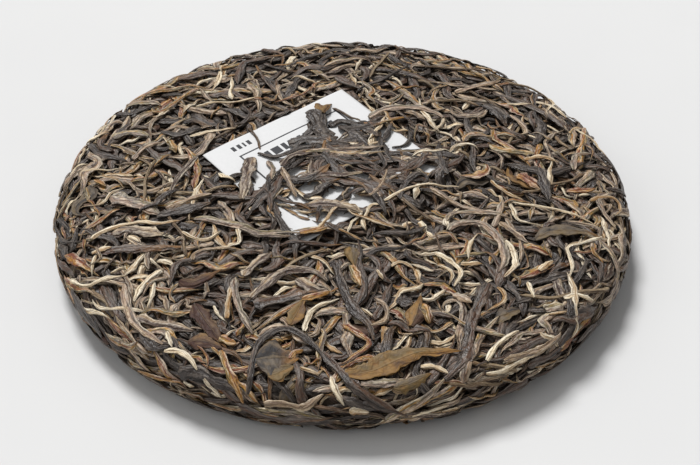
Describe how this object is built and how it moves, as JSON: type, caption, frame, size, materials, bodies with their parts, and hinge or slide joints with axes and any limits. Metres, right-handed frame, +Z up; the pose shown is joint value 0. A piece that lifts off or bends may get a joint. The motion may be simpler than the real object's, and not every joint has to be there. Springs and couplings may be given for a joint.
{
  "type": "pu-erh tea cake",
  "caption": "Thin round cake of pressed pu-erh tea leaves with a slightly domed face and a flat dimpled back, and a square paper ticket pressed into the face.",
  "frame": {"origin": "centre of the flat back, at the level the cake rests on", "axes": "+Z up out of the cake's face along its round axis, +X to the right and +Y away from the viewer of the face"},
  "size_m": [0.1993, 0.1993, 0.0239],
  "materials": {
    "tea_leaf": "dry twisted tea leaves, dark brown to grey-brown with pale buds, satin",
    "paper": "thin matt white paper"
  },
  "bodies": {
    "root": {"tea_cake": "tea_leaf", "paper_ticket": "paper"}
  },
  "joints": []
}
